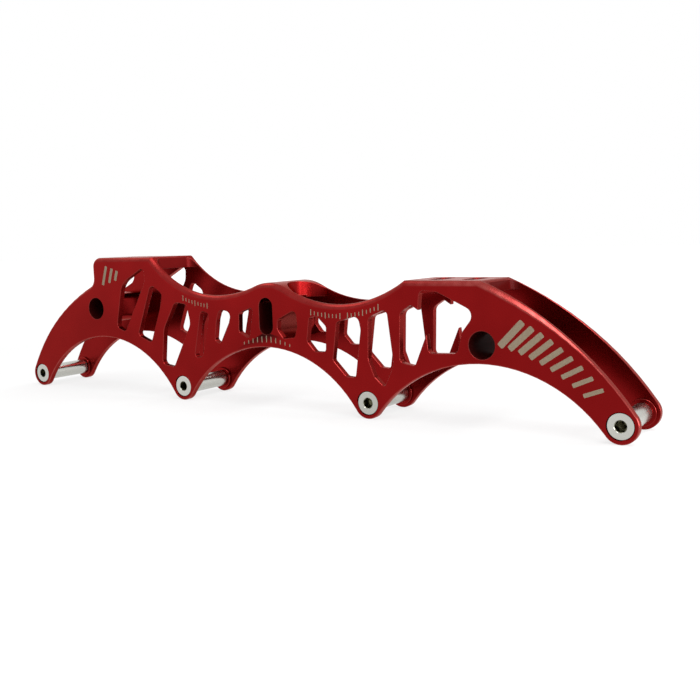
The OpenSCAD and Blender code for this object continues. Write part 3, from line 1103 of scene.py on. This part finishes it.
    def cut_socket(self, model: Object) -> None:
        """Cuts the hex socket with its countersunk mouth and drilled bottom.

        Args:
            model: The turned axle.
        """
        corner = self.hex_across / 2 / math.cos(math.pi / self.hex_sides)
        self.cut_cone(model, self.hex_sides, (corner, corner), (-self.cut_past, self.hex_depth))
        mouth = (self.socket_mouth + self.cut_past, self.socket_mouth - self.mouth_depth)
        self.cut_cone(model, self.cone_sides, mouth, (-self.cut_past, self.mouth_depth))
        drill = (self.hex_across / 2 * self.drill_share, self.drill_tip)
        start, end = self.drill_reach
        self.cut_cone(model, self.cone_sides, drill, (self.hex_depth + start, self.hex_depth + end))

    def cut_cone(self, model: Object, sides: int, radii: Pair, reach: Pair) -> None:
        """Cuts a cone or prism out of the head, along the axle's axis.

        Args:
            model: The turned axle.
            sides: How many sides the cutter has.
            radii: Its radius at its outer and at its inner end.
            reach: How far behind the head's face these ends lie.
        """
        start, end = reach
        Bench.clear()
        bpy.ops.mesh.primitive_cone_add(
            vertices=sides, radius1=radii[0], radius2=radii[1], depth=end - start,
            rotation=(-math.pi / 2, 0.0, 0.0), location=self.head + Vector((0.0, (start + end) / 2, 0.0)))
        Bench.cut(model, bpy.context.object)

    def mark_socket(self, mesh: Mesh) -> None:
        """Marks the corners that lie inside the socket, where the colour is made darker and olive.

        Args:
            mesh: The axle's mesh.
        """
        inside = []
        for vertex in mesh.vertices:
            place = vertex.co - self.head
            deep = self.socket_lip < place.y < self.hex_depth + self.darkened_past
            inside.append(float(deep and math.hypot(place.x, place.z) < self.socket_mouth))
        Bench.write(mesh, "socket", inside)

    def place(self, model: Object, node: str) -> Object:
        """Copies the model to one axle's place.

        Args:
            model: The finished model at the rear axle's place.
            node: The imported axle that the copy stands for.

        Returns:
            The copy, with its own mesh and material.
        """
        seat = self.seat(node)
        axle = Bench.add(f"{node}_turned", model.data.copy())
        turn = Matrix.Rotation(self.turns[node], 4, "Y")
        axle.data.transform(Matrix.Translation(seat) @ turn @ Matrix.Translation(-self.head))
        axle.data.materials.clear()
        axle.data.materials.append(SteelFinish(f"{node}_steel", tuple(seat)).make())
        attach(axle, node)
        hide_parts(node)
        return axle


@dataclass
class Stroke:
    """One straight stroke of an etched mark, on the plane of a wall."""

    x: float
    z: float
    width: float
    length: float
    lean: float


@dataclass
class EtchedMarks:
    """Plain etched marks on one wall: bars, tick rows and a centre scale, with no words."""

    wall: Wall
    shell: Object
    proud: float = 0.015 * MM
    sunk: float = 0.05 * MM
    corner_share: float = 0.22
    corner_steps: int = 3
    ray_depth: float = 1.5 * MM
    ray_above: float = 200.0 * MM
    ray_below: float = -100.0 * MM
    arm_bars: int = 9
    arm_span: Pair = (117.5 * MM, 149.0 * MM)
    arm_bar_shares: Pair = (0.11, 0.54)
    arm_bar_lean: float = math.radians(-24.0)
    heel_centre: Pair = (-99.5 * MM, 60.2 * MM)
    heel_bars: tuple[Pair, ...] = ((-4.4 * MM, 10.0 * MM), (0.0, 7.6 * MM), (4.0 * MM, 5.2 * MM))
    heel_bar_width: float = 1.7 * MM
    heel_bar_lean: float = math.radians(-18.0)
    tick_rows: tuple[Pair, ...] = ((-50.0 * MM, -33.0 * MM), (25.0 * MM, 41.0 * MM),
                                   (44.0 * MM, 60.0 * MM))
    tick_step: float = 1.9 * MM
    tick_drop: float = 4.6 * MM
    tick_width: float = 0.42 * MM
    tick_length: float = 1.7 * MM
    long_tick: float = 2.6 * MM
    long_tick_every: int = 4
    scale_ticks: int = 11
    scale_step: float = 2.6 * MM
    scale_width: float = 0.45 * MM
    scale_length: float = 3.0 * MM
    scale_fall: float = 0.35 * MM
    scale_lift: float = 2.2 * MM
    surface: BVHTree = field(init=False)

    def __post_init__(self) -> None:
        """Takes the shell's surface, on which the wall's edges are found."""
        self.surface = BVHTree.FromObject(self.shell, bpy.context.evaluated_depsgraph_get())

    def build(self) -> list[Object]:
        """Etches the marks of one wall.

        Returns:
            The finished pieces, riding on the frame.
        """
        finish = bpy.data.materials.get(EtchFinish().name) or EtchFinish().make()
        sets = {
            "arm_bars": self.arm_strokes(),
            "heel_bars": self.heel_strokes(),
            "tick_rows": self.tick_strokes(),
            "centre_scale": self.scale_strokes(),
        }
        side = self.wall.name.lower()
        return [self.etch(f"{side}_side_{name}", strokes, finish) for name, strokes in sets.items()]

    def edge_height(self, x: float, upper: bool) -> float:
        """Finds the wall's edge over or under a place.

        Args:
            x: The place along the frame.
            upper: True for the top edge, False for the lower one.

        Returns:
            The edge's height.
        """
        y = self.wall.value * (CAD_BOX[1].y - self.ray_depth)
        start, way = (self.ray_above, -1.0) if upper else (self.ray_below, 1.0)
        hit = self.surface.ray_cast(Vector((x, y, start)), Vector((0.0, 0.0, way)))
        return hit[0].z

    def middle(self, x: float) -> float:
        """Gives the height midway between the wall's two edges."""
        return (self.edge_height(x, True) + self.edge_height(x, False)) / 2

    def arm_strokes(self) -> list[Stroke]:
        """Slants bars that march down the front arm and shorten with it.

        Returns:
            The strokes.
        """
        strokes = []
        first, last = self.arm_span
        width, length = self.arm_bar_shares
        for number in range(self.arm_bars):
            x = first + (last - first) * number / (self.arm_bars - 1)
            slope = math.atan2(self.middle(x + MM) - self.middle(x - MM), 2.0 * MM)
            height = (self.edge_height(x, True) - self.edge_height(x, False)) * math.cos(slope)
            lean = slope + self.arm_bar_lean
            strokes.append(Stroke(x, self.middle(x), width * height, length * height, lean))
        return strokes

    def heel_strokes(self) -> list[Stroke]:
        """Slants bars under the rear deck."""
        x, z = self.heel_centre
        return [Stroke(x + shift, z, self.heel_bar_width, length, self.heel_bar_lean)
                for shift, length in self.heel_bars]

    def tick_strokes(self) -> list[Stroke]:
        """Sets rows of fine ticks that follow the top edge.

        Returns:
            The strokes.
        """
        strokes = []
        for start, end in self.tick_rows:
            for number in range(int((end - start) / self.tick_step) + 1):
                x = start + number * self.tick_step
                length = self.tick_length if number % self.long_tick_every else self.long_tick
                strokes.append(Stroke(x, self.edge_height(x, True) - self.tick_drop,
                                      self.tick_width, length, 0.0))
        return strokes

    def scale_strokes(self) -> list[Stroke]:
        """Sets a centre scale over the middle arch, tallest at the middle of the wheelbase.

        Returns:
            The strokes.
        """
        strokes = []
        for number in range(self.scale_ticks):
            place = number - (self.scale_ticks - 1) / 2
            x = place * self.scale_step
            length = self.scale_length - self.scale_fall * abs(place)
            base = self.edge_height(x, False) + self.scale_lift
            strokes.append(Stroke(x, base + length / 2, self.scale_width, length, 0.0))
        return strokes

    def etch(self, name: str, strokes: Sequence[Stroke], finish: Material) -> Object:
        """Models a set of strokes as one thin inlay.

        Args:
            name: The piece's name.
            strokes: The strokes.
            finish: The material.

        Returns:
            The finished piece.
        """
        out = float(self.wall.value)
        face = out * CAD_BOX[1].y
        piece = Bench.add(name, bpy.data.meshes.new(name))
        Bench.take(piece, "EDIT")
        for stroke in strokes:
            bpy.ops.mesh.select_all(action="DESELECT")
            centre = Vector((stroke.x, face - out * self.sunk, stroke.z))
            bpy.ops.mesh.primitive_plane_add(size=1.0, location=centre, rotation=(math.pi / 2, 0.0, 0.0))
            bpy.ops.transform.resize(value=(stroke.width, 1.0, stroke.length), center_override=centre)
            bpy.ops.mesh.bevel(affect="VERTICES", offset=self.corner_share * stroke.width,
                               segments=self.corner_steps)
            bpy.ops.transform.rotate(value=stroke.lean, orient_axis="Y", center_override=centre)
        bpy.ops.mesh.select_all(action="SELECT")
        bpy.ops.mesh.extrude_region_move(
            TRANSFORM_OT_translate={"value": (0.0, out * (self.sunk + self.proud), 0.0)})
        bpy.ops.mesh.select_all(action="SELECT")
        bpy.ops.mesh.normals_make_consistent(inside=False)
        Bench.clear()
        piece.data.materials.append(finish)
        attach(piece, "frame")
        return piece


@dataclass
class SoftBox:
    """One rectangular studio lamp."""

    name: str
    place: tuple[float, float, float]
    size: Pair
    radiance: float

    def light(self, target: Vector) -> Object:
        """Hangs the lamp and turns it to a target.

        Args:
            target: The point that it faces.

        Returns:
            The lamp.
        """
        data = bpy.data.lights.new(self.name, "AREA")
        data.shape = "RECTANGLE"
        data.size, data.size_y = self.size
        data.energy = self.radiance * math.pi * self.size[0] * self.size[1]
        lamp = Bench.add(self.name, data)
        lamp.location = self.place
        lamp.rotation_euler = (target - lamp.location).to_track_quat("-Z", "Y").to_euler()
        lamp.visible_camera = False
        return lamp


@dataclass
class Studio:
    """The white table, the lamps and the camera."""

    camera_place: tuple[float, float, float] = (0.2492, -0.3246, 0.07555)
    camera_angles: tuple[float, float, float] = (82.822, 1.572, 33.317)
    focal_share: float = 884.5 / 700.0
    sensor: float = 36.0
    nearest: float = 0.01
    floor_half: float = 4.0
    floor_colour: Colour = (0.2, 0.2, 0.2, 1.0)
    floor_roughness: float = 0.9
    floor_glow: Pair = (0.76, 1.0)
    glow_reach: Pair = (0.35, 1.1)
    sky: float = 0.5
    target: tuple[float, float, float] = (0.0, 0.0, 0.03)
    boxes: tuple[SoftBox, ...] = (
        SoftBox("overhead_box", (0.66, -0.05, 1.42), (2.6, 0.52), 6.6),
        SoftBox("left_box", (-0.95, 0.10, 1.30), (0.7, 0.5), 2.0),
        SoftBox("right_box", (0.70, 0.0, 0.15), (0.62, 0.29), 8.0),
        SoftBox("front_fill", (-1.15, -1.45, 0.15), (0.7, 0.6), 0.5),
    )

    def build(self) -> None:
        """Sets up the table, the light and the camera."""
        bpy.context.scene.view_settings.view_transform = "Standard"
        self.lay_floor()
        self.paint_world()
        for box in self.boxes:
            box.light(Vector(self.target))
        self.set_camera()

    @staticmethod
    def white_rays(tree: NodeTree) -> Socket:
        """Picks out the rays that should see plain white.

        Args:
            tree: The tree to add to.

        Returns:
            1 for camera, glossy and transmission rays, else 0.
        """
        path = tree.add("LightPath").outputs
        seen = tree.math("MAXIMUM", path["Is Camera Ray"], path["Is Glossy Ray"])
        return tree.math("MAXIMUM", seen, path["Is Transmission Ray"])

    def lay_floor(self) -> None:
        """Lays a wide pale floor under the wall tips."""
        Bench.clear()
        bpy.ops.mesh.primitive_plane_add(size=2.0 * self.floor_half, location=(0.0, 0.0, CAD_BOX[0].z))
        floor = bpy.context.object
        floor.name = "studio_floor"
        bpy.ops.object.transform_apply(location=True, rotation=True, scale=True)
        material, tree, shader, place = Finish.start("floor_white")
        away = tree.add("VectorMath", operation="LENGTH")
        tree.feed(away, 0, place)
        glow = tree.span(away.outputs["Value"], *self.glow_reach, *self.floor_glow)
        tree.feed_all(shader, {
            "Base Color": self.floor_colour,
            "Roughness": self.floor_roughness,
            "Specular IOR Level": 0.0,
            "Emission Color": WHITE,
            "Emission Strength": tree.math("MULTIPLY", self.white_rays(tree), glow),
        })
        floor.data.materials.append(material)
        log.info("%s laid", floor.name)

    def paint_world(self) -> None:
        """Makes the surround white to look at and soft as a light."""
        world = bpy.data.worlds.new("studio_world")
        world.use_nodes = True
        tree = NodeTree(world.node_tree)
        strength = tree.math("MULTIPLY_ADD", self.white_rays(tree), 1.0 - self.sky, self.sky)
        tree.feed_all(tree.find("BACKGROUND"), {"Color": WHITE, "Strength": strength})
        world.cycles.sampling_method = "NONE"
        bpy.context.scene.world = world

    def set_camera(self) -> None:
        """Sets the camera at the photograph's place and angles."""
        data = bpy.data.cameras.new("studio_camera")
        data.sensor_width = self.sensor
        data.lens = self.focal_share * self.sensor
        data.clip_start = self.nearest
        camera = Bench.add("studio_camera", data)
        camera.location = self.camera_place
        camera.rotation_euler = [math.radians(angle) for angle in self.camera_angles]
        bpy.context.scene.camera = camera


def main() -> None:
    """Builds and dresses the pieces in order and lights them."""
    logging.basicConfig(level=logging.INFO, format="%(name)s: %(message)s")
    Studio().build()
    shell = FrameShell().build()
    pieces = [shell, *WheelAxle().build()]
    for wall in Wall:
        pieces += EtchedMarks(wall, shell).build()
    for piece in pieces:
        log.info("%s: %d faces", piece.name, len(piece.data.polygons))


if __name__ == "__main__":
    main()
